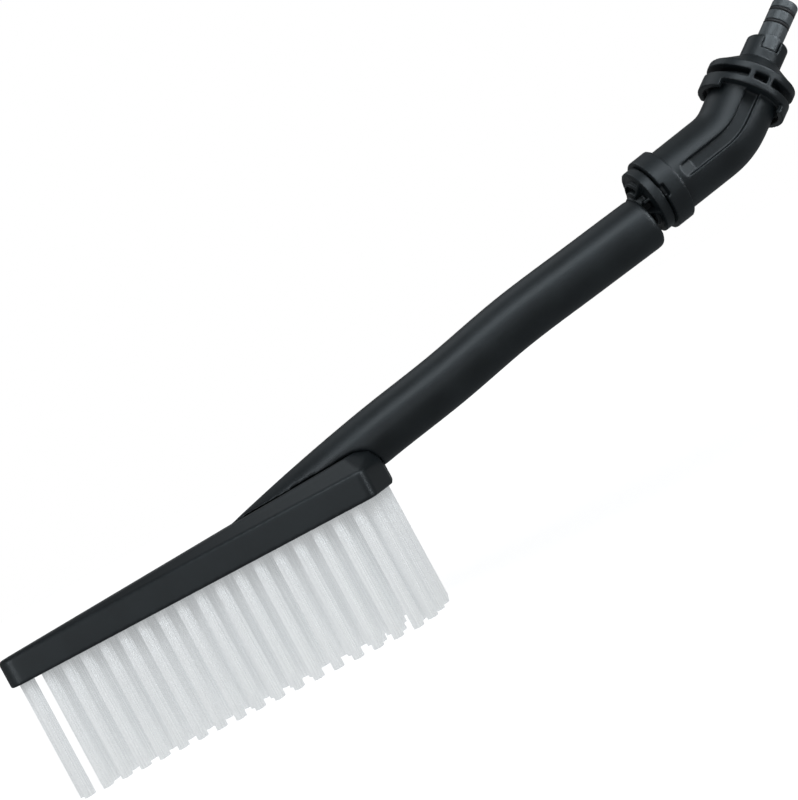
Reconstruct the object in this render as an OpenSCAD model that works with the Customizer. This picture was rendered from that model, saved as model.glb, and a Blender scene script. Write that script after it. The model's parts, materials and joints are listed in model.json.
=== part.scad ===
// Feed-through wash brush: a wedge-shaped bristle head on a hollow handle, with a
// bayonet elbow at the far end that carries a 12 mm plug for a hose connector.
// Millimetres. +X runs from the nose of the head to the inlet, +Z is up and the
// bristles point down. The origin is the tip of the bristle tuft under the middle
// of the head.

/* [Head] */
// Half width of the head at its widest point
head_half_w = 33.5; // [30:0.5:36]
// Radius of the rounded nose
nose_r = 12.2; // [10:0.1:13]
// Height of the head's upright sides
side_h = 13.5; // [12:0.5:16]
// Slope of the bevelled band round the roof, in degrees
band_slope = 30; // [25:1:35]
// Wall thickness of the head
head_wall = 2.5; // [2.4:0.1:2.6]

/* [Bristles] */
// Length of bristle below the head
bristle_len = 59; // [50:1:65]
// Diameter of one tuft
tuft_d = 5.8; // [5:0.1:6]
// Distance from one tuft to the next along a row
tuft_pitch = 9.9; // [9.9:0.1:10]
// Distance between the inner rows
row_gap = 8.2; // [8:0.1:8.4]

/* [Handle] */
// Outer diameter of the handle
handle_d = 26.7; // [26:0.1:27.5]
// Wall thickness of the handle
handle_wall = 3; // [2.8:0.1:3.2]

/* [Coupling] */
// Tilt of the bayonet's axis, in degrees
coupling_tilt = 9.9; // [9:0.1:11]
// Diameter of the spigot's flange
flange_d = 32.4; // [31:0.2:33]
// Thickness of the spigot's flange
flange_t = 4.6; // [4:0.1:5]
// Diameter of the spigot inside the elbow
spigot_d = 22; // [21:0.5:22]
// Running clearance between spigot and elbow, on the radius
running_gap = 0.05; // [0.03:0.01:0.08]

/* [Elbow] */
// Tilt of the inlet's axis, in degrees
inlet_tilt = 37.3; // [36:0.1:38]
// Diameter of the elbow's tube
elbow_d = 31.5; // [30.5:0.5:32]
// Diameter of the elbow's collar
collar_d = 36.4; // [36:0.1:37]
// Diameter of the double grip disc
disc_d = 40.8; // [40:0.2:41]
// Diameter of the hub that holds the plug
hub_d = 19.3; // [19:0.1:19.6]

/* [Inlet plug] */
// Diameter of the plug
plug_d = 12; // [12:0.1:12.2]
// Length of plug that stands out of the hub
plug_out = 19.6; // [19:0.1:22]

/* [Hidden] */
$fn = 64;
slack = 0.02;   // clear space left between faces of one body that only meet
over = 1;       // how far a cutter runs past the face it opens

black = "#23282b";
dark_grey = "#5a6365";
rubber = "#151718";
bristle_white = "#dcdfe1";
steel = "#b9bdc0";

// ---- Head: plan, roof and inner spaces. X is measured from the middle of the head.
nose_x = -100.5;            // front end of the nose
wide_x = 87.5;              // where the sides meet the corner facets
end_x = 97;                 // end face under the handle
end_half_w = 12;            // half width of the end face
corner_r = 5;               // vertical corners at the widest point
end_corner_r = 2.5;         // vertical corners of the end face
roof_edge_r = 1.2;          // rounding along the top of the roof
base_z = bristle_len;       // underside of the head
crown_front = 13.6;         // height of the roof's crown near the nose
crown_front_x = -71;        // where that height is measured
crown_rise = 0.0438;        // rise of the crown for each millimetre towards the handle

plate_recess = 1;           // the plate lies this far up inside the head's rim
plate_t = 6.5;
gasket_t = 1;
gasket_w = 2;
fit_gap = 0.15;             // gap round the plate
ledge_w = 2.4;
chamber_top = 14;           // ceiling of the water chamber, above the head's underside
roof_wall = 2.6;

plate_bottom = base_z + plate_recess;
plate_top = plate_bottom + plate_t;
ledge_z = plate_top + gasket_t;

// Height of the crown above the underside, at x
function crown(x) = crown_front + crown_rise * (x - crown_front_x);

// ---- Tufts
hole_depth = 5;
hole_d = tuft_d + 0.2;
tuft_top = plate_bottom + hole_depth;
rim_inset = 6.15;            // from the head's edge to the middle of an outer tuft
tip_inset = 5.8;            // the same at the nose and at the end face
first_tuft_x = -90.4;       // first tuft of the left outer row
outer_count = 18;
side_slope = (head_half_w - nose_r) / (wide_x - nose_x - nose_r);
centre_first = -8;          // centre row, in pitches from the origin
centre_last = 8;
screw_steps = [-1.5, 3.5, 7.5]; // places in the inner rows taken by screws, in pitches
front_screw = [-54.9, -5.2];    // the one near the nose, between two rows
staple = [6.3, 0.5, 1.6];
screw_d = 3;
screw_head_d = 5.6;
screw_head_t = 2;
screw_len = 9.5;
screw_root_d = screw_d - 0.4;
screw_bite = 2.6;           // how deep a screw's hole goes into the head
screw_post_d = 7;

// Half width of the head at x, on its straight sides
function half_w(x) = nose_r + side_slope * (x - nose_x - nose_r) + 0.6;
function outer_y(x) = half_w(x) - rim_inset;
// Last x that an inner row may reach, clear of the row round the end
function row_end(y) = end_x - 14.2 - max(0, abs(y) - end_half_w) * (end_x - wide_x)
    / (head_half_w - end_half_w);

outer_left = [for (k = [0:outer_count - 1]) let (x = first_tuft_x + k * tuft_pitch)
    [x, -outer_y(x)]];
outer_right = [for (k = [0:outer_count - 2]) let (x = first_tuft_x + (k + 0.5) * tuft_pitch)
    [x, outer_y(x)]];
end_rim = concat([[nose_x + tip_inset, 0], [end_x - tip_inset, 0]],
    [for (side = [-1, 1], p = [[tip_inset, 6.9], [8.6, 14.9], [12.2, 22]])
        [end_x - p[0], side * p[1]]]);
centre_row = [for (k = [centre_first:centre_last]) [k * tuft_pitch, 0]];
screws = concat([front_screw],
    [for (side = [-1, 1], k = screw_steps) [k * tuft_pitch, side * row_gap]]);
// Distance from a place to the nearest screw
function from_screw(x, y) = min([for (p = screws) norm([x, y] - p)]);
// A row at height y: every place that clears the outer row, the end row and the screws
function row(y) = [for (k = [centre_first:centre_last + 1]) let (x = (k - 0.5) * tuft_pitch)
    if (outer_y(x) - abs(y) > tuft_d + 1.4 && x < row_end(y) && from_screw(x, y) > tuft_d)
        [x, y]];
inner_left = row(-row_gap);
inner_right = row(row_gap);
middle_left = [for (p = row(-2 * row_gap)) [p[0] + tuft_pitch / 2, p[1]]];
middle_right = [for (p = row(2 * row_gap)) [p[0] + tuft_pitch / 2, p[1]]];
all_tufts = concat(outer_left, outer_right, end_rim, centre_row, inner_left, inner_right,
    middle_left, middle_right);
jets = concat([for (k = [-7:8]) [(k - 0.5) * tuft_pitch, 0]],
    [for (side = [-1, 1], k = [0:7]) [k * tuft_pitch, side * row_gap]]);
jet_d = 1.4;

// ---- Handle: its middle line, low in the head and waved once so that it sits in the hand
handle_line = [[20, 63], [60, 73], [100, 81.5], [140, 88.5], [180, 97], [220, 103], [254, 108]];
handle_end_round = 2.5;     // rounding of the handle's end
handle_end_steps = 4;
cavity_from = 62;           // the hollow runs between these two places
cavity_to = 226;
ring_sides = 36;
ring_steps = 6;             // rings in each space between two points of the line

// ---- Boss on the head, inside the handle, along its own axis
boss_d = handle_d - 2 * handle_wall - 1.5;
boss_bore_d = 12;
boss_tilt = 11;
boss_at = [93, 0, 80.1];
boss_back = -24;
boss_front = 24;
boss_groove = 19;           // middle of the groove for the handle's seal
boss_groove_r = boss_d / 2 - 1.1;
boss_groove_w = 2;
handle_seal_r = 0.76;

// ---- Coupling, along its own axis from the middle of the flange
flange_x = 258.85;
flange_z = base_z + 57.26;
flange_back = -0.3;
stem_d = 10;
stem_back = 34;             // how far the stem reaches into the handle
spigot_len = 18;
water_d = 6.5;
neck_d = 12.6;
neck_len = 6;
end_gap = 0.2;              // between the handle's end and the ears
collar_start = 4.8;
collar_end = 13.8;
lug_r = 13.4;
lug_start = 10;
lug_end = 13;
lug_angle = 26;
turn_angle = 60;            // from locked to the lugs lined up with their slots
seal_groove = 15.6;         // middle of the groove for the spigot's seal
stem_groove = -20;          // middle of the groove for the stem's seal
ear_back = 4;               // how far the ears reach back over the neck
ear_angle = 116;
ear_rib = 1.1;

// ---- Elbow
bend_along = 47.15;         // bend point, from the middle of the flange
bend_r = 30;
bend_angle = inlet_tilt - coupling_tilt;
bend_tangent = bend_r * tan(bend_angle / 2);
bend_start = bend_along - bend_tangent;
elbow_bore_r = 10.8;
channel_w = 6.4;
channel_depth = 3;
channel_start = collar_end + 3;
channel_ramp = 7;           // length over which the recess reaches its depth
disc_start = 19.3;          // from the bend point, along the inlet's axis
disc_t = 3.35;
disc_slot = 3.2;
disc_end = disc_start + 2 * disc_t + disc_slot;
skirt_len = 3.6;
skirt_t = 2.6;
skirt_window = 48;          // half angle of the open side
slot_core_r = 14.5;
cone_h = 7.4;               // low cone from the upper disc to the hub
hub_end = disc_end + 18.2;
notch_w = 8;
notch_depth = 6;

// ---- Plug
plug_tip = hub_end + plug_out;
plug_seat = 31.8;
washer_t = 1.5;
plug_shank_d = 11;
plug_collar_d = 12.8;       // low step on the plug that rests on the hub
plug_seam = 1.3;            // the key ends this far above the hub
plug_key_r = 7.6;
plug_bevel = 0.6;
plug_bore_d = 7;
o_ring_r = 0.72;
groove_w = 1.6;
groove_r = plug_d / 2 - 1.4;
groove_at = [8.8, 15.0];
clip_at = 36.8;
clip_w = 1.2;

// Places a child on the coupling's axis: its Z runs from the flange towards the inlet
module at_coupling() {
    translate([flange_x, 0, flange_z]) rotate([0, 90 - coupling_tilt, 0]) children();
}

// Places a child on the inlet's axis: its Z runs from the bend point to the plug's tip
module at_inlet() {
    translate([flange_x + bend_along * cos(coupling_tilt), 0,
        flange_z + bend_along * sin(coupling_tilt)])
        rotate([0, 90 - inlet_tilt, 0]) children();
}

// A tube's solid, from z1 to z2
module rod(d, z1, z2) {
    translate([0, 0, z1]) cylinder(d = d, h = z2 - z1);
}

// An O-ring lying round the Z axis at height z
module o_ring(centre_r, section_r, z) {
    translate([0, 0, z]) rotate_extrude() translate([centre_r, 0]) circle(section_r, $fn = 24);
}

// A ring-shaped sector between two radii, from angle a1 to a2
module sector(r1, r2, z1, z2, a1, a2) {
    translate([0, 0, z1]) rotate([0, 0, a1]) rotate_extrude(angle = a2 - a1)
        translate([r1, 0]) square([r2 - r1, z2 - z1]);
}

// ---------------------------------------------------------------- head

// Outline of the head seen from above, moved inwards by inset
module head_plan(inset) {
    offset(delta = -inset) hull() {
        translate([nose_x + nose_r, 0]) circle(nose_r);
        for (side = [-1, 1]) {
            translate([wide_x - corner_r * 0.45, side * (head_half_w - corner_r)])
                circle(corner_r, $fn = 40);
            translate([end_x - end_corner_r, side * (end_half_w - end_corner_r)])
                circle(end_corner_r, $fn = 32);
        }
    }
}

// Height of the band's inner edge above the underside, at the crown
function band_in(x) = (crown(x) - side_h) / tan(band_slope) + 0.4;

// One rounded point on the edge of the crown
module crown_point(x, y) {
    translate([x, y, base_z + crown(x) - roof_edge_r]) sphere(roof_edge_r, $fn = 16);
}

// The head's outer shape
module head_shape() {
    hull() {
        translate([0, 0, base_z]) linear_extrude(side_h - 1) head_plan(0);
        translate([0, 0, base_z]) linear_extrude(side_h) head_plan(0.8);
        crown_point(nose_x + nose_r * 0.5, 0);
        for (side = [-1, 1]) {
            crown_point(nose_x + nose_r, side * (nose_r - 3));
            crown_point(wide_x - 5, side * (head_half_w - band_in(wide_x) - 2));
            crown_point(end_x - 1.4, side * 2.5);
        }
    }
}

// The water chamber over the plate
module chamber() {
    intersection() {
        translate([0, 0, ledge_z - over]) linear_extrude(20) head_plan(head_wall + ledge_w);
        rotate([90, 0, 0]) linear_extrude(100, center = true) polygon([
            [nose_x, ledge_z - over], [nose_x, base_z + crown(nose_x) - roof_wall],
            [20, base_z + chamber_top], [end_x, base_z + chamber_top],
            [end_x, ledge_z - over]]);
    }
}

// Places a child on the axis of the hollow boss that the handle slides over
module at_boss() {
    translate(boss_at) rotate([0, 90 - boss_tilt, 0]) children();
}

module head_block() color(black) difference() {
    union() {
        head_shape();
        at_boss() rod(boss_d, boss_back, boss_front);
    }
    translate([0, 0, base_z - over]) linear_extrude(ledge_z - base_z + over)
        head_plan(head_wall);
    difference() {
        chamber();
        for (p = screws) translate([p[0], p[1], ledge_z]) cylinder(d = screw_post_d, h = 20, $fn = 32);
    }
    for (p = screws) translate([p[0], p[1], ledge_z - over])
        cylinder(d = screw_root_d, h = over + screw_bite);
    at_boss() rod(boss_bore_d, boss_back - 4, boss_front + over);
    at_boss() translate([0, 0, boss_groove - boss_groove_w / 2]) rotate_extrude()
        translate([boss_groove_r, 0]) square([3, boss_groove_w]);
}

module bristle_plate() color(black) difference() {
    translate([0, 0, plate_bottom]) linear_extrude(plate_t) head_plan(head_wall + fit_gap);
    for (p = all_tufts) translate([p[0], p[1], plate_bottom - over])
        cylinder(d = hole_d, h = hole_depth + over);
    for (p = screws) translate([p[0], p[1], plate_bottom - over]) {
        cylinder(d = screw_d + 0.3, h = plate_t + 2 * over);
        cylinder(d = screw_head_d + 0.4, h = over + screw_head_t + 0.2);
    }
    for (p = jets) translate([p[0], p[1], plate_bottom - over])
        cylinder(d = jet_d, h = plate_t + 2 * over);
}

module plate_gasket() color(rubber) translate([0, 0, plate_top]) linear_extrude(gasket_t)
    difference() {
        head_plan(head_wall + fit_gap);
        head_plan(head_wall + fit_gap + gasket_w);
    }

module plate_screws() color(steel) for (p = screws)
    translate([p[0], p[1], plate_bottom + 0.2]) difference() {
        union() {
            cylinder(d = screw_head_d, h = screw_head_t);
            cylinder(d = screw_root_d, h = screw_len);
        }
        translate([0, 0, -over]) cylinder(d = 2, h = over + 1.2, $fn = 6);
    }

// ---------------------------------------------------------------- bristles

// Bundles of filament, each folded over a flat staple in its hole
module tufts(places) color(bristle_white) for (p = places)
    translate([p[0], p[1], 0]) difference() {
        rod(tuft_d, 0, tuft_top);
        translate([-tuft_d, -staple[1] / 2, tuft_top - 1 - staple[2]])
            cube([2 * tuft_d, staple[1], staple[2]]);
    }

module tuft_staples() color(steel) for (p = all_tufts)
    translate([p[0] - staple[0] / 2, p[1] - staple[1] / 2, tuft_top - 1 - staple[2]])
        cube(staple);

// ---------------------------------------------------------------- handle

// A smooth curve through four values, from b at t = 0 to c at t = 1
function through(a, b, c, d, t) = 0.5 * (2 * b + (c - a) * t + (2 * a - 5 * b + 4 * c - d) * t * t
    + (3 * b - a - 3 * c + d) * t * t * t);

// The points in list, with steps smooth ones in each space between two of them
function smooth_line(list, steps) = concat([for (i = [0:len(list) - 2], k = [0:steps - 1])
    through(list[max(i - 1, 0)], list[i], list[i + 1], list[min(i + 2, len(list) - 1)],
        k / steps)], [list[len(list) - 1]]);

// A line's points with the slope of the line at each, in degrees
function sloped(line) = [for (i = [0:len(line) - 1])
    let (a = line[max(i - 1, 0)], b = line[min(i + 1, len(line) - 1)])
    [line[i][0], line[i][1], atan2(b[1] - a[1], b[0] - a[0])]];

// Stations of one radius along a line, each [x, height, slope, radius]
function stations(line, r) = [for (p = line) [p[0], p[1], p[2], r]];

// A rounded end: stations that carry on from the last point of line and close in
function round_end(p, r, round) = [for (k = [1:handle_end_steps])
    let (a = 90 * k / handle_end_steps)
    [p[0] + round * sin(a) * cos(p[2]), p[1] + round * sin(a) * sin(p[2]), p[2],
        r - round * (1 - cos(a))]];

// A solid of round rings, one at each station
module swept(rings, sides) {
    n = len(rings);
    points = [for (s = rings, k = [0:sides - 1]) let (a = 360 * k / sides)
        [s[0] - s[3] * cos(a) * sin(s[2]), s[3] * sin(a), s[1] + s[3] * cos(a) * cos(s[2])]];
    walls = [for (i = [0:n - 2], k = [0:sides - 1]) let (a = i * sides + k,
        b = i * sides + (k + 1) % sides, c = a + sides, d = b + sides)
        each [[a, b, c], [b, d, c]]];
    polyhedron(points, concat(walls, [[for (k = [sides - 1:-1:0]) k]],
        [[for (k = [0:sides - 1]) (n - 1) * sides + k]]));
}

module handle_shell() color(black) difference() {
    middle = sloped(smooth_line(handle_line, ring_steps));
    swept(concat(stations(middle, handle_d / 2),
        round_end(middle[len(middle) - 1], handle_d / 2, handle_end_round)), ring_sides);
    swept(stations([for (p = middle) if (p[0] > cavity_from && p[0] < cavity_to) p],
        handle_d / 2 - handle_wall), ring_sides);
    at_coupling() {
        rod(stem_d + 2 * slack, -stem_back - 10, over);
        rod(neck_d + 2 * slack, -neck_len - slack, over);
        rod(flange_d + over, flange_back - ear_back - end_gap, flange_t);
    }
    head_shape();
    translate([nose_x, -head_half_w, 0]) cube([end_x - nose_x, 2 * head_half_w, base_z + 5]);
}

module handle_seal() color(rubber) at_boss()
    o_ring(boss_groove_r + handle_seal_r + slack, handle_seal_r, boss_groove);

// ---------------------------------------------------------------- coupling

// One ear of the flange: a hollow half cone with a rib in it, over the neck
module ear() {
    reach = flange_d / 2 - 0.6;
    rotate([0, 0, -ear_angle / 2]) rotate_extrude(angle = ear_angle) polygon([
        [neck_d / 2 - 1, flange_back + over], [neck_d / 2 - 1, flange_back - ear_back],
        [neck_d / 2 + ear_rib, flange_back - ear_back], [reach, flange_back],
        [reach, flange_back + over]]);
}

// The two curved pockets in an ear
module ear_pockets() {
    for (r = [8.2, 11.9]) rotate([0, 0, 6 - ear_angle / 2])
        rotate_extrude(angle = ear_angle - 12) translate([r, flange_back - ear_back])
        square([2.4, ear_back]);
}

module bayonet_spigot() color(black) at_coupling() difference() {
    union() {
        rod(stem_d, -stem_back, 0);
        rod(neck_d, -neck_len, 0);
        rod(flange_d, flange_back, flange_back + flange_t);
        rod(spigot_d, 0, spigot_len);
        for (half = [0, 180]) rotate([0, 0, half]) {
            sector(spigot_d / 2 - 1, lug_r, lug_start, lug_end, -lug_angle / 2, lug_angle / 2);
            ear();
            translate([-0.7, -spigot_d / 2, flange_back - 3]) cube([1.4, 6, 4]);
        }
    }
    rod(water_d, -stem_back - over, spigot_len + over);
    for (half = [0, 180]) rotate([0, 0, half]) ear_pockets();
    translate([0, 0, seal_groove - 1.1]) rotate_extrude()
        translate([spigot_d / 2 - 1.8, 0]) square([3, 2.2]);
    translate([0, 0, stem_groove - 0.8]) rotate_extrude()
        translate([stem_d / 2 - 1, 0]) square([3, 1.6]);
}

module spigot_seal() color(rubber) at_coupling()
    o_ring(spigot_d / 2 - 0.9, 0.86, seal_groove);

module stem_seal() color(rubber) at_coupling() o_ring(stem_d / 2 - 0.48, 0.46, stem_groove);

// ---------------------------------------------------------------- elbow

// A point on the coupling's axis, z from the flange, as [x, height]
function on_coupling(z) = [flange_x + z * cos(coupling_tilt), flange_z + z * sin(coupling_tilt)];
function up(a) = [-sin(a), cos(a)];
bend_centre = on_coupling(bend_start) + bend_r * up(coupling_tilt);
bend_steps = 6;
elbow_sides = 72;
elbow_line = concat([concat(on_coupling(collar_start + 0.5), coupling_tilt)],
    [for (k = [0:bend_steps]) let (a = coupling_tilt + bend_angle * k / bend_steps)
        concat(bend_centre - bend_r * up(a), a)],
    [concat(on_coupling(bend_along) + (disc_start + over) * [cos(inlet_tilt), sin(inlet_tilt)],
        inlet_tilt)]);

// A point on the elbow's side, r from the bend's centre and a degrees round it
function bend_point(r, a) = [r * cos(a) - bend_r, bend_start + r * sin(a)];

// Outline of the recess along the elbow's side, in the plane of the bend
function channel_edge(side, along) = let (r = bend_r + side * channel_w / 2)
    concat([[side * channel_w / 2, channel_start]],
        [for (k = [0:5]) bend_point(r, bend_angle * k / 5)],
        [bend_point(r, bend_angle) + along * [-sin(bend_angle), cos(bend_angle)]]);

// The recess along one side of the elbow, deeper towards the discs
module side_channel(side) {
    floor_y = elbow_d / 2 - channel_depth;
    inner = channel_edge(-1, disc_start - bend_tangent);
    outline = concat(channel_edge(1, disc_start - bend_tangent),
        [for (k = [len(inner) - 1:-1:0]) inner[k]]);
    at_coupling() mirror([0, side > 0 ? 1 : 0, 0]) difference() {
        translate([0, -floor_y, 0]) rotate([90, 0, 0])
            linear_extrude(channel_depth + over) polygon(outline);
        rotate([90, 0, 90]) linear_extrude(2 * channel_w, center = true) polygon([
            [-floor_y + over, channel_start - over], [-elbow_d / 2 - 0.1, channel_start - over],
            [-elbow_d / 2 - 0.1, channel_start], [-floor_y + 0.01, channel_start + channel_ramp],
            [-floor_y + over, channel_start + channel_ramp]]);
    }
}

module disc_slots() {
    z1 = disc_start + disc_t;
    small = 9;
    rib = 7.2;
    for (front = [-90, 90]) {
        sector(slot_core_r, disc_d, z1, z1 + disc_slot, front - small, front + small);
        sector(slot_core_r, disc_d, z1, z1 + disc_slot, front + small + rib,
            front + 180 - small - rib);
    }
}

module elbow_body() color(black) difference() {
    union() {
        swept(stations(elbow_line, elbow_d / 2), elbow_sides);
        at_coupling() rod(collar_d, collar_start, collar_end);
        at_inlet() rotate_extrude() polygon([[0, disc_start],
            [disc_d / 2 - skirt_t, disc_start], [disc_d / 2 - skirt_t, disc_start - skirt_len],
            [disc_d / 2, disc_start - skirt_len], [disc_d / 2, disc_end],
            [disc_d / 2 - 1.2, disc_end + 0.6], [hub_d / 2, disc_end + cone_h],
            [hub_d / 2, hub_end - 1], [hub_d / 2 - 1, hub_end], [0, hub_end]]);
    }
    for (front = [-90, 90]) at_inlet() sector(elbow_d / 2 + 0.8, disc_d,
        disc_start - skirt_len - over, disc_start, front - skirt_window, front + skirt_window);
    at_coupling() rod(2 * elbow_bore_r, spigot_len - over, bend_along + 2);
    at_inlet() rod(2 * elbow_bore_r - 2.4, -3, disc_start + 5);
    at_coupling() rod(spigot_d + 2 * running_gap, collar_start - over, spigot_len + 0.6);
    for (half = [0, 180]) at_coupling() {
        sector(spigot_d / 2 - 1, lug_r + 0.2, lug_start - 0.25, lug_end + 0.25,
            half - turn_angle - lug_angle / 2 - 2, half + lug_angle / 2 + 0.5);
        sector(spigot_d / 2 - 1, lug_r + 0.2, collar_start - over, lug_end,
            half - turn_angle - lug_angle / 2 - 2, half - turn_angle + lug_angle / 2 + 2);
        sector(spigot_d / 2 + 3.5, collar_d, collar_start - over, collar_start + 1.8,
            half + 84, half + 104);
    }
    side_channel(-1);
    side_channel(1);
    at_inlet() {
        disc_slots();
        rod(plug_bore_d, disc_start, hub_end);
        rod(plug_shank_d + 2 * slack, plug_seat, hub_end + over);
        translate([-notch_w / 2, -hub_d, hub_end - notch_depth])
            cube([notch_w, 2 * hub_d, notch_depth + over]);
        rod(plug_shank_d + 2.4, clip_at - clip_w / 2 - 0.1, clip_at + clip_w / 2 + 0.1);
    }
}

// ---------------------------------------------------------------- inlet plug

module inlet_plug() color(dark_grey) at_inlet() difference() {
    union() {
        rod(plug_shank_d, plug_seat + washer_t, hub_end + plug_seam / 2);
        rod(plug_collar_d, hub_end + slack, hub_end + plug_seam);
        rod(plug_d, hub_end + plug_seam / 2, plug_tip - plug_bevel);
        translate([0, 0, plug_tip - plug_bevel])
            cylinder(d1 = plug_d, d2 = plug_d - 2 * plug_bevel, h = plug_bevel);
        intersection() {
            rod(2 * plug_key_r, hub_end - notch_depth + 0.8, hub_end + plug_seam);
            translate([-notch_w / 2 + 0.1, -hub_d, hub_end - notch_depth])
                cube([notch_w - 0.2, 2 * hub_d, notch_depth + 4]);
        }
    }
    rod(plug_bore_d, 0, plug_tip + over);
    for (g = groove_at) translate([0, 0, hub_end + g - groove_w / 2]) rotate_extrude()
        translate([groove_r, 0]) square([3, groove_w]);
    translate([0, 0, clip_at - clip_w / 2 - 0.1]) rotate_extrude()
        translate([plug_shank_d / 2 - 0.9, 0]) square([3, clip_w + 0.2]);
}

module plug_seal(g) color(rubber) at_inlet()
    o_ring(groove_r + o_ring_r + slack, o_ring_r, hub_end + g);

module plug_seat_washer() color(rubber) at_inlet() difference() {
    rod(plug_shank_d, plug_seat, plug_seat + washer_t);
    rod(plug_bore_d, plug_seat - over, plug_seat + washer_t + over);
}

// An open ring that springs into the hub's groove and holds the plug
module plug_retaining_ring() color(steel) at_inlet()
    sector(plug_shank_d / 2 - 0.85, plug_shank_d / 2 + 1.1, clip_at - clip_w / 2,
        clip_at + clip_w / 2, 20, 340);

head_block();
bristle_plate();
plate_gasket();
plate_screws();
tufts(outer_left);  // tufts_outer_left
tufts(outer_right);  // tufts_outer_right
tufts(end_rim);  // tufts_end_rim
tufts(centre_row);  // tufts_centre
tufts(inner_left);  // tufts_inner_left
tufts(inner_right);  // tufts_inner_right
tufts(middle_left);  // tufts_middle_left
tufts(middle_right);  // tufts_middle_right
tuft_staples();
handle_shell();
handle_seal();
bayonet_spigot();
stem_seal();
spigot_seal();
elbow_body();
inlet_plug();
plug_seal(groove_at[1]);  // plug_seal_outer
plug_seal(groove_at[0]);  // plug_seal_inner
plug_seat_washer();
plug_retaining_ring();
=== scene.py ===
"""Looks of the feed-through wash brush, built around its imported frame, in metres."""
import json
import math
import random

import bmesh
import bpy
from mathutils import Matrix, Vector


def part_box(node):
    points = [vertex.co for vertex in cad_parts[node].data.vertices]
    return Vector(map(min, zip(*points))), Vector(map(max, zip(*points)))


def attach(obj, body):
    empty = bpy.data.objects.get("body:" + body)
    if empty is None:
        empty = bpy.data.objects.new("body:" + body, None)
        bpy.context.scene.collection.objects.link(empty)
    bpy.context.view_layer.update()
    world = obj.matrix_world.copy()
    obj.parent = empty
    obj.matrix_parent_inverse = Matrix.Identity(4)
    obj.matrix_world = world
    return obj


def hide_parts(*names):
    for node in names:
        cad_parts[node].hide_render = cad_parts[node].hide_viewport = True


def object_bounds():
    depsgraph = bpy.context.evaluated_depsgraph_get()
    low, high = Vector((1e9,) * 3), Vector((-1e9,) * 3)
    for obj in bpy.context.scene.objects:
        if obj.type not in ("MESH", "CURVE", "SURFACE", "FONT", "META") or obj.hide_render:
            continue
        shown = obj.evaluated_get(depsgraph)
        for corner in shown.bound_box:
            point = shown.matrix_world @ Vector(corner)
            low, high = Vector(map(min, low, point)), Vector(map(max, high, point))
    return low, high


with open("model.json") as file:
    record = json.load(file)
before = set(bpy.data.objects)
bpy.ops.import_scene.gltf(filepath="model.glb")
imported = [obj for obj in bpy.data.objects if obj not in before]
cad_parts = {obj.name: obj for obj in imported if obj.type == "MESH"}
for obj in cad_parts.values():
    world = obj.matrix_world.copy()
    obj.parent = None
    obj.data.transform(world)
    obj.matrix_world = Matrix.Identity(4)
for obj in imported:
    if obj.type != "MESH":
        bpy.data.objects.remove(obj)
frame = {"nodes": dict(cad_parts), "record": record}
cad_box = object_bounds()

MM = 0.001
SEED = 7

# Camera: level, facing +Y, rolled so that the handle rises to the right
CAMERA_AT = Vector((0.117, -0.508, 0.0905))
CAMERA_ROLL = math.radians(28.5)
LENS = 50
SENSOR = 36
FAR_LIMIT = 100

# Softboxes: place, the point that it faces, width, height and power
BRUSH_MIDDLE = (0.12, 0, 0.08)
HEAD_MIDDLE = (0, 0, 0.07)
HEAD_END = (0.09, -0.02, 0.065)
BRISTLE_MIDDLE = (0, 0, 0.04)
ELBOW_MIDDLE = (0.33, 0, 0.14)
SOFTBOXES = {
    "front_softbox": ((0.14, -0.7, 0.78), BRUSH_MIDDLE, 1.0, 0.4, 10),
    "top_softbox": ((0.1, 0.25, 0.8), BRUSH_MIDDLE, 0.5, 0.5, 1.1),
    "end_strip": ((0.75, -0.4, 0.12), HEAD_END, 0.06, 0.5, 3),
    "elbow_softbox": ((0.7, -0.4, 0.4), ELBOW_MIDDLE, 0.4, 0.4, 3.5),
    "low_softbox": ((-0.2, -0.9, 0.1), HEAD_MIDDLE, 0.8, 0.25, 2),
    "left_strip": ((-0.8, -0.45, 0.06), BRISTLE_MIDDLE, 0.08, 0.5, 4),
}
SOFTBOX_TINT = (0.86, 0.94, 1)

# Wide light from above: strength, how wide it spreads, and how far it leans to the front
SUN_STRENGTH = 1.1
SUN_SPREAD = math.radians(110)
SUN_LEAN = math.radians(30)

# Surround: white to look at, and tinted and dimmer as a light
WORLD_SEEN = (1, 1, 1, 1)
WORLD_LIT = (0.93, 0.97, 1, 1)
WORLD_STRENGTH = 0.22

FLOOR_SIZE = 30.0
FLOOR_DROP = 0.2 * MM
FLOOR_COLOUR = (0.86, 0.86, 0.86, 1)
FLOOR_GLOW_COLOUR = (1, 1, 1, 1)
FLOOR_GLOW = 0.62

# One material for each slot of the record. low and high are the colours that it drifts
# between, rough the range of its roughness, and grain the scale and height of its fine bump.
LOOKS = {
    "black_plastic": {
        "low": (0.0055, 0.0080, 0.0095), "high": (0.0078, 0.0111, 0.0131),
        "rough": (0.38, 0.48), "specular": 0.22, "grain": (3200, 0.02 * MM)},
    "grey_plastic": {
        "low": (0.042, 0.051, 0.056), "high": (0.053, 0.063, 0.069),
        "rough": (0.38, 0.48), "specular": 0.3, "grain": (3600, 0.02 * MM)},
    "bristle": {
        "low": (0.52, 0.53, 0.535), "high": (0.60, 0.61, 0.615),
        "rough": (0.32, 0.42), "specular": 0.5, "grain": (1400, 0.005 * MM),
        # The bristles' emission is painted light: a glow that brightens every filament though it is
        # no lamp.
        "drift": 1500, "stretch": (1, 1, 0.012), "painted_glow": 0.27},
    "seal_rubber": {
        "low": (0.010, 0.010, 0.011), "high": (0.016, 0.016, 0.017),
        "rough": (0.6, 0.75), "specular": 0.3, "grain": (2600, 0.02 * MM)},
    "stainless": {
        "low": (0.50, 0.51, 0.53), "high": (0.58, 0.59, 0.61),
        "rough": (0.22, 0.36), "specular": 0.5, "grain": (5000, 0.008 * MM),
        "metallic": 1.0, "stretch": (0.1, 1, 1)},
}
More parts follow.
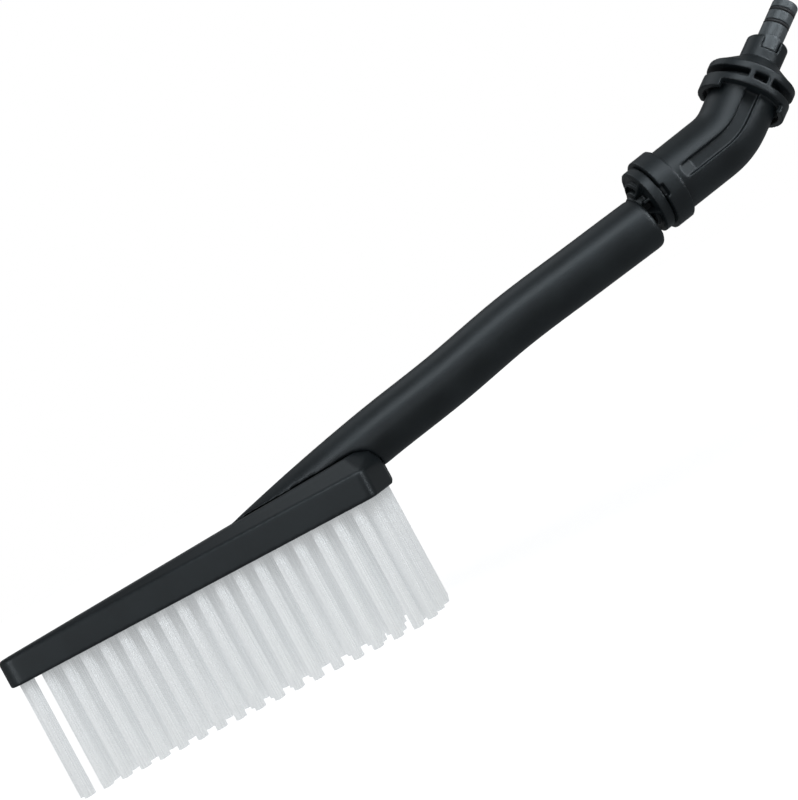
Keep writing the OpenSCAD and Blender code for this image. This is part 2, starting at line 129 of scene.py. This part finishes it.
# Colour of the painted light that a glowing material gives off.
PAINTED_GLOW_COLOUR = (0.95, 0.98, 1, 1)
DRIFT_DETAIL = 4
DRIFT_FROM = 0.35
DRIFT_TO = 0.65
GRAIN_DETAIL = 3
GRAIN_STRENGTH = 0.35

# Moulded pieces: the size of the grid that each is skinned at, and how often it is smoothed
SKINS = {
    "head_block": (0.7 * MM, 6),
    "handle_shell": (0.9 * MM, 14),
    "bayonet_spigot": (0.35 * MM, 3),
    "elbow_body": (0.42 * MM, 4),
    "inlet_plug": (0.26 * MM, 3),
}
SMOOTH_FACTOR = 0.5

# Points of a CAD mesh that are closer than this are one point
WELD = 0.001 * MM

# Filaments of one tuft: how many, their shape, how far a tip strays and how unevenly it is
# cut, how much of that stray a filament bows by, and how deep its root is in the plate
FILAMENTS = 72
FILAMENT_R = 0.36 * MM
FILAMENT_SIDES = 5
FILAMENT_RINGS = 4
TIP_SPREAD = 0.05 * MM
STRAY_SHARE = 0.7
BOW_SHARE = 0.4
TIP_UNEVEN = 0.25 * MM
ROOT_DEPTH = 2 * MM
GOLDEN = math.pi * (3 - math.sqrt(5))


def add_object(name, data):
    """A new object in the scene."""
    thing = bpy.data.objects.new(name, data)
    bpy.context.scene.collection.objects.link(thing)
    return thing


# ---------------------------------------------------------------- camera, light and floor

def make_camera():
    """The camera at the photograph's viewing angle."""
    right = Vector((math.cos(CAMERA_ROLL), 0, -math.sin(CAMERA_ROLL)))
    up = Vector((math.sin(CAMERA_ROLL), 0, math.cos(CAMERA_ROLL)))
    back = Vector((0, -1, 0))
    data = bpy.data.cameras.new("camera")
    data.lens = LENS
    data.sensor_width = SENSOR
    data.clip_end = FAR_LIMIT
    camera = add_object("camera", data)
    turn = Matrix((right, up, back)).transposed().to_4x4()
    camera.matrix_world = Matrix.Translation(CAMERA_AT) @ turn
    bpy.context.scene.camera = camera


def make_softbox(name, place, target, width, height, power):
    """A soft light at place, facing target, that gives highlights only."""
    data = bpy.data.lights.new(name, "AREA")
    data.shape = "RECTANGLE"
    data.size = width
    data.size_y = height
    data.color = SOFTBOX_TINT
    data.energy = power
    light = add_object(name, data)
    light.location = place
    facing = Vector(target) - Vector(place)
    light.rotation_euler = facing.to_track_quat("-Z", "Y").to_euler()
    light.visible_diffuse = False


def make_sun():
    """A wide, even light from above, which leaves only soft shadows on the floor."""
    data = bpy.data.lights.new("sky_light", "SUN")
    data.energy = SUN_STRENGTH
    data.angle = SUN_SPREAD
    light = add_object("sky_light", data)
    light.rotation_euler = (SUN_LEAN, 0, 0)
    light.visible_glossy = False


def make_world():
    """A white surround to look at, and a dimmer one to light with."""
    world = bpy.data.worlds.new("studio")
    bpy.context.scene.world = world
    world.use_nodes = True
    nodes, links = world.node_tree.nodes, world.node_tree.links
    nodes.clear()
    out = nodes.new("ShaderNodeOutputWorld")
    mix = nodes.new("ShaderNodeMixShader")
    seen = nodes.new("ShaderNodeBackground")
    lit = nodes.new("ShaderNodeBackground")
    path = nodes.new("ShaderNodeLightPath")
    seen.inputs["Color"].default_value = WORLD_SEEN
    lit.inputs["Color"].default_value = WORLD_LIT
    lit.inputs["Strength"].default_value = WORLD_STRENGTH
    links.new(path.outputs["Is Camera Ray"], mix.inputs[0])
    links.new(lit.outputs[0], mix.inputs[1])
    links.new(seen.outputs[0], mix.inputs[2])
    links.new(mix.outputs[0], out.inputs["Surface"])


def make_floor():
    """A plain white floor just under the bristles."""
    mesh = bpy.data.meshes.new("floor")
    half = FLOOR_SIZE / 2
    z = cad_box[0][2] - FLOOR_DROP
    mesh.from_pydata([(-half, -half, z), (half, -half, z), (half, half, z), (-half, half, z)],
                     [], [(0, 1, 2, 3)])
    material = bpy.data.materials.new("floor_white")
    material.use_nodes = True
    shader = material.node_tree.nodes["Principled BSDF"]
    shader.inputs["Base Color"].default_value = FLOOR_COLOUR
    shader.inputs["Roughness"].default_value = 1.0
    shader.inputs["Specular IOR Level"].default_value = 0.0
    shader.inputs["Emission Color"].default_value = FLOOR_GLOW_COLOUR
    shader.inputs["Emission Strength"].default_value = FLOOR_GLOW
    mesh.materials.append(material)
    floor = add_object("floor", mesh)
    floor.visible_glossy = False


# ---------------------------------------------------------------- materials

def noise(nodes, links, source, scale, detail, stretch):
    """A noise texture in the piece's own space, drawn out along an axis where stretch is below 1."""
    mapping = nodes.new("ShaderNodeMapping")
    mapping.inputs["Scale"].default_value = stretch
    texture = nodes.new("ShaderNodeTexNoise")
    texture.inputs["Scale"].default_value = scale
    texture.inputs["Detail"].default_value = detail
    links.new(source, mapping.inputs["Vector"])
    links.new(mapping.outputs["Vector"], texture.inputs["Vector"])
    return texture.outputs["Fac"]


def ramp(nodes, links, value, low, high):
    """Turns a noise value into a colour between low and high."""
    node = nodes.new("ShaderNodeValToRGB")
    node.color_ramp.elements[0].position = DRIFT_FROM
    node.color_ramp.elements[1].position = DRIFT_TO
    node.color_ramp.elements[0].color = (*low, 1)
    node.color_ramp.elements[1].color = (*high, 1)
    links.new(value, node.inputs["Fac"])
    return node.outputs["Color"]


def make_material(name, low, high, rough, specular, grain, drift=60, metallic=0.0,
                  stretch=(1, 1, 1), painted_glow=0.0):
    """A moulded, cast or drawn surface, with the looks that LOOKS describes.

    drift is the scale of its change of colour, and stretch draws that and the grain out.
    The emission is painted light: the filament glows, standing in for the light that passes through
    a translucent filament.
    """
    material = bpy.data.materials.new(name)
    material.use_nodes = True
    nodes, links = material.node_tree.nodes, material.node_tree.links
    shader = nodes["Principled BSDF"]
    shader.inputs["Metallic"].default_value = metallic
    shader.inputs["Specular IOR Level"].default_value = specular
    shader.inputs["Emission Color"].default_value = PAINTED_GLOW_COLOUR
    # Emission strength: painted light, a glow that brightens the surface though it is no lamp.
    shader.inputs["Emission Strength"].default_value = painted_glow
    source = nodes.new("ShaderNodeTexCoord").outputs["Object"]
    tone = noise(nodes, links, source, drift, DRIFT_DETAIL, stretch)
    links.new(ramp(nodes, links, tone, low, high), shader.inputs["Base Color"])
    grain_scale, grain_height = grain
    fine = noise(nodes, links, source, grain_scale, GRAIN_DETAIL, stretch)
    range_node = nodes.new("ShaderNodeMapRange")
    range_node.inputs["To Min"].default_value = rough[0]
    range_node.inputs["To Max"].default_value = rough[1]
    links.new(tone, range_node.inputs["Value"])
    links.new(range_node.outputs["Result"], shader.inputs["Roughness"])
    bump = nodes.new("ShaderNodeBump")
    bump.inputs["Strength"].default_value = GRAIN_STRENGTH
    bump.inputs["Distance"].default_value = grain_height
    links.new(fine, bump.inputs["Height"])
    links.new(bump.outputs["Normal"], shader.inputs["Normal"])
    return material


# ---------------------------------------------------------------- CAD nodes and the record

def body_of_node(name):
    """The body that a CAD node belongs to."""
    for body, members in frame["record"]["behaviour"]["bodies"].items():
        if name in members:
            return body


def slot_of_node(name):
    """The record's material slot of a CAD node."""
    for part in frame["record"]["subparts"]:
        if part["node"] == name:
            return part["material_slot"]


def stand_for(piece, name):
    """Puts a piece in the place of a CAD node, on that node's body, and hides that node."""
    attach(piece, body_of_node(name))
    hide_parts(name)


# ---------------------------------------------------------------- moulded pieces

def apply_modifiers(piece):
    """Replaces a piece's mesh by what its modifiers make of it."""
    graph = bpy.context.evaluated_depsgraph_get()
    mesh = bpy.data.meshes.new_from_object(piece.evaluated_get(graph))
    piece.modifiers.clear()
    old = piece.data
    piece.data = mesh
    bpy.data.meshes.remove(old)


def keep_inside(mesh, low, high):
    """Holds every point inside the box of the CAD node that the mesh stands for."""
    for vertex in mesh.vertices:
        for axis in range(3):
            vertex.co[axis] = min(max(vertex.co[axis], low[axis]), high[axis])


def skin_node(name, grid, smoothing, material):
    """A moulded piece: the CAD node's shape with its edges softened, in place of that node."""
    mesh = frame["nodes"][name].data.copy()
    mesh.name = name + "_moulded"
    welded = bmesh.new()
    welded.from_mesh(mesh)
    bmesh.ops.remove_doubles(welded, verts=welded.verts, dist=WELD)
    welded.to_mesh(mesh)
    welded.free()
    mesh.materials.clear()
    piece = add_object(name + "_moulded", mesh)
    remesh = piece.modifiers.new("skin", "REMESH")
    remesh.mode = "VOXEL"
    remesh.voxel_size = grid
    remesh.use_smooth_shade = True
    smooth = piece.modifiers.new("soft_edges", "SMOOTH")
    smooth.factor = SMOOTH_FACTOR
    smooth.iterations = smoothing
    apply_modifiers(piece)
    keep_inside(piece.data, *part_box(name))
    piece.data.shade_smooth()
    piece.data.materials.append(material)
    stand_for(piece, name)


# ---------------------------------------------------------------- bristles

def tuft_centres(name):
    """Middle and radius of each tuft in a CAD node, found as the separate solids of its mesh."""
    solids = bmesh.new()
    solids.from_mesh(frame["nodes"][name].data)
    bmesh.ops.remove_doubles(solids, verts=solids.verts, dist=WELD)
    left = set(solids.verts)
    centres = []
    while left:
        reached = [left.pop()]
        for vertex in reached:
            for edge in vertex.link_edges:
                other = edge.other_vert(vertex)
                if other in left:
                    left.remove(other)
                    reached.append(other)
        xs = [v.co.x for v in reached]
        ys = [v.co.y for v in reached]
        centres.append(((min(xs) + max(xs)) / 2, (min(ys) + max(ys)) / 2,
                        (max(ys) - min(ys)) / 2))
    solids.free()
    return sorted(centres)


def add_filament(verts, faces, root, tip, lean):
    """One filament from root down to tip, bowed a little by lean, with closed ends."""
    first = len(verts)
    for ring in range(FILAMENT_RINGS):
        t = ring / (FILAMENT_RINGS - 1)
        bow = math.sin(math.pi * t)
        middle = root.lerp(tip, t) + lean * bow
        for side in range(FILAMENT_SIDES):
            a = 2 * math.pi * side / FILAMENT_SIDES
            verts.append(middle + FILAMENT_R * Vector((math.cos(a), math.sin(a), 0)))
    for ring in range(FILAMENT_RINGS - 1):
        for side in range(FILAMENT_SIDES):
            a = first + ring * FILAMENT_SIDES + side
            b = first + ring * FILAMENT_SIDES + (side + 1) % FILAMENT_SIDES
            faces.append((a, a + FILAMENT_SIDES, b + FILAMENT_SIDES, b))
    faces.append(tuple(range(first, first + FILAMENT_SIDES)))
    last = first + (FILAMENT_RINGS - 1) * FILAMENT_SIDES
    faces.append(tuple(range(last + FILAMENT_SIDES - 1, last - 1, -1)))


def make_tufts(name, material, dice):
    """The filaments of every tuft in a CAD node, in place of that node."""
    low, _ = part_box(name)
    root_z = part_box("bristle_plate")[0].z + ROOT_DEPTH
    verts, faces = [], []
    for x, y, radius in tuft_centres(name):
        reach = radius - FILAMENT_R - TIP_SPREAD
        for k in range(FILAMENTS):
            out = reach * math.sqrt((k + 0.5) / FILAMENTS)
            angle = k * GOLDEN
            place = Vector((out * math.cos(angle), out * math.sin(angle), 0))
            stray = Vector((dice.uniform(-1, 1), dice.uniform(-1, 1), 0)) * TIP_SPREAD * STRAY_SHARE
            short = TIP_UNEVEN * dice.random() ** 3
            root = Vector((x, y, root_z)) + place
            tip = Vector((x, y, low.z + short)) + place + stray
            add_filament(verts, faces, root, tip, stray * dice.uniform(-BOW_SHARE, BOW_SHARE))
    mesh = bpy.data.meshes.new(name + "_filaments")
    mesh.from_pydata(verts, [], faces)
    mesh.shade_smooth()
    mesh.materials.append(material)
    piece = add_object(name + "_filaments", mesh)
    stand_for(piece, name)


# ---------------------------------------------------------------- the scene

def dress_cad_nodes(materials):
    """Gives every CAD node its slot's material. Those that a piece stands for are hidden later."""
    for name, node in frame["nodes"].items():
        node.data.materials.clear()
        node.data.materials.append(materials[slot_of_node(name)])


def main():
    make_camera()
    make_world()
    make_floor()
    make_sun()
    for name, setting in SOFTBOXES.items():
        make_softbox(name, *setting)
    bpy.context.scene.view_settings.view_transform = "Standard"
    materials = {name: make_material(name, **looks) for name, looks in LOOKS.items()}
    dress_cad_nodes(materials)
    for name, (grid, smoothing) in SKINS.items():
        skin_node(name, grid, smoothing, materials[slot_of_node(name)])
    dice = random.Random(SEED)
    for name in sorted(frame["nodes"]):
        if slot_of_node(name) == "bristle":
            make_tufts(name, materials["bristle"], dice)


main()
